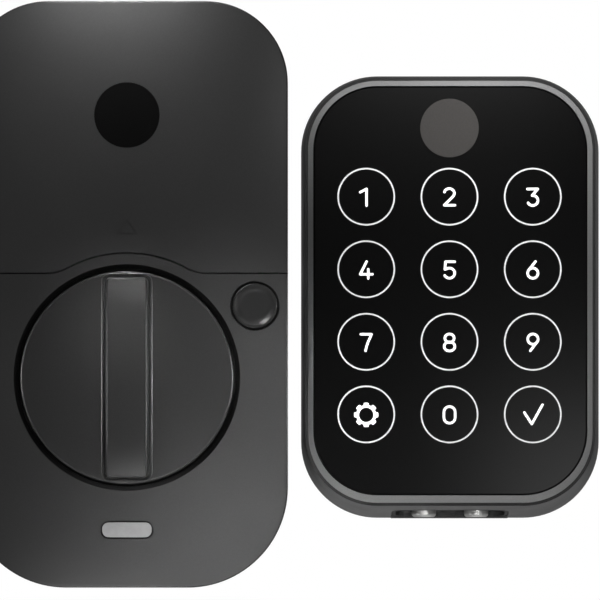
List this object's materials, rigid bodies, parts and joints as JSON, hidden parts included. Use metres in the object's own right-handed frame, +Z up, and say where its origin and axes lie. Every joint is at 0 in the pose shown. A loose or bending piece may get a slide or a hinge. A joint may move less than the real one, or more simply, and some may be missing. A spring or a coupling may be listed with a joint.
{
  "type": "keypad smart lock",
  "caption": "Motorised deadbolt lock: an inside unit with a thumbturn, sliding battery cover and privacy button, and an outside touch keypad with emergency power contacts.",
  "frame": {"origin": "on the thumbturn's axis, in the plane of the door's face that both units rest on", "axes": "+Z up the door, +Y into the door along the thumbturn's axis, +X to the right as seen from the front"},
  "size_m": [0.1536, 0.0696, 0.1421],
  "materials": {
    "black_shell": "fine matt paint",
    "thumbturn_finish": "satin black",
    "badge_inlay": "satin",
    "bezel_finish": "satin dark grey",
    "panel_glass": "gloss",
    "frame_plastic": "moulded",
    "contact_plastic": "moulded",
    "steel": "zinc plated",
    "gear_metal": "cut",
    "bush_bronze": "sintered",
    "motor_can": "drawn",
    "nickel_contact": "nickel plated",
    "cell_jacket": "printed sleeve",
    "circuit_board": "solder mask",
    "electronic_part": "moulded",
    "clear_lens": "frosted",
    "seal_foam": "closed-cell foam"
  },
  "bodies": {
    "lock_body": {"aa_cell_1": "cell_jacket", "aa_cell_2": "cell_jacket", "aa_cell_3": "cell_jacket", "aa_cell_4": "cell_jacket", "back_plate_screws": "steel", "backlight_leds": "electronic_part", "battery_tray": "frame_plastic", "chassis": "frame_plastic", "contact_block": "contact_plastic", "contact_leads": "nickel_contact", "first_gear_axle": "steel", "front_board": "circuit_board", "front_board_screws": "steel", "front_bush": "bush_bronze", "gearbox_cover": "frame_plastic", "gearbox_screws": "steel", "glass_panel": "panel_glass", "housing_screws": "steel", "interior_cable_socket": "electronic_part", "keypad_back_plate": "frame_plastic", "keypad_bezel": "bezel_finish", "keypad_board": "circuit_board", "keypad_cable_socket": "electronic_part", "keypad_gasket": "seal_foam", "keypad_housing": "black_shell", "keypad_posts": "steel", "light_guide": "clear_lens", "light_pipe": "clear_lens", "lower_housing": "black_shell", "main_board": "circuit_board", "main_board_parts": "electronic_part", "minus_contacts": "nickel_contact", "motor": "motor_can", "mounting_plate": "steel", "mounting_screws": "steel", "nine_volt_contacts": "nickel_contact", "plus_contacts": "nickel_contact", "rear_bush": "bush_bronze", "second_gear_axle": "steel", "smart_module": "electronic_part", "sounder": "electronic_part", "status_led": "electronic_part", "tact_switch": "electronic_part", "touch_sensor": "circuit_board", "tray_screws": "steel"},
    "thumbturn": {"thumbturn_disc": "thumbturn_finish", "thumbturn_grip": "thumbturn_finish", "drive_shaft": "steel", "output_gear": "gear_metal", "retaining_ring": "steel", "tailpiece": "steel"},
    "second_gear": {"second_gear": "gear_metal"},
    "first_gear": {"first_gear": "gear_metal"},
    "motor_rotor": {"motor_shaft": "steel", "motor_pinion": "gear_metal"},
    "privacy_button": {"privacy_button": "black_shell", "switch_plunger": "electronic_part"},
    "battery_cover": {"battery_cover": "black_shell", "cover_badge": "badge_inlay"}
  },
  "joints": [
    {"name": "thumbturn_turn", "type": "hinge", "parent": "lock_body", "child": "thumbturn", "pos_m": [0, -0.014, 0], "axis": [0, -1, 0], "range_deg": [-90, 90]},
    {"name": "second_gear_spin", "type": "hinge", "parent": "lock_body", "child": "second_gear", "pos_m": [-0.01405, -0.014, -0.01265], "axis": [0, -1, 0], "range_deg": [-315, 315]},
    {"name": "first_gear_spin", "type": "hinge", "parent": "lock_body", "child": "first_gear", "pos_m": [-0.00695, -0.014, -0.02787], "axis": [0, -1, 0], "range_deg": [-945, 945]},
    {"name": "motor_spin", "type": "hinge", "parent": "lock_body", "child": "motor_rotor", "pos_m": [0.0095, -0.014, -0.02446], "axis": [0, -1, 0], "range_deg": [-2835, 2835]},
    {"name": "privacy_button_press", "type": "slide", "parent": "lock_body", "child": "privacy_button", "axis": [0, 1, 0], "range_m": [0, 0.001], "stiffness_N_per_m": 600, "springref_m": -0.001},
    {"name": "battery_cover_slide", "type": "slide", "parent": "lock_body", "child": "battery_cover", "axis": [0, 0, 1], "range_m": [0, 0.07]}
  ],
  "couplings": [
    {"joint": "second_gear_spin", "follows": "thumbturn_turn", "ratio": -3.5},
    {"joint": "first_gear_spin", "follows": "thumbturn_turn", "ratio": 10.5},
    {"joint": "motor_spin", "follows": "thumbturn_turn", "ratio": -31.5}
  ]
}
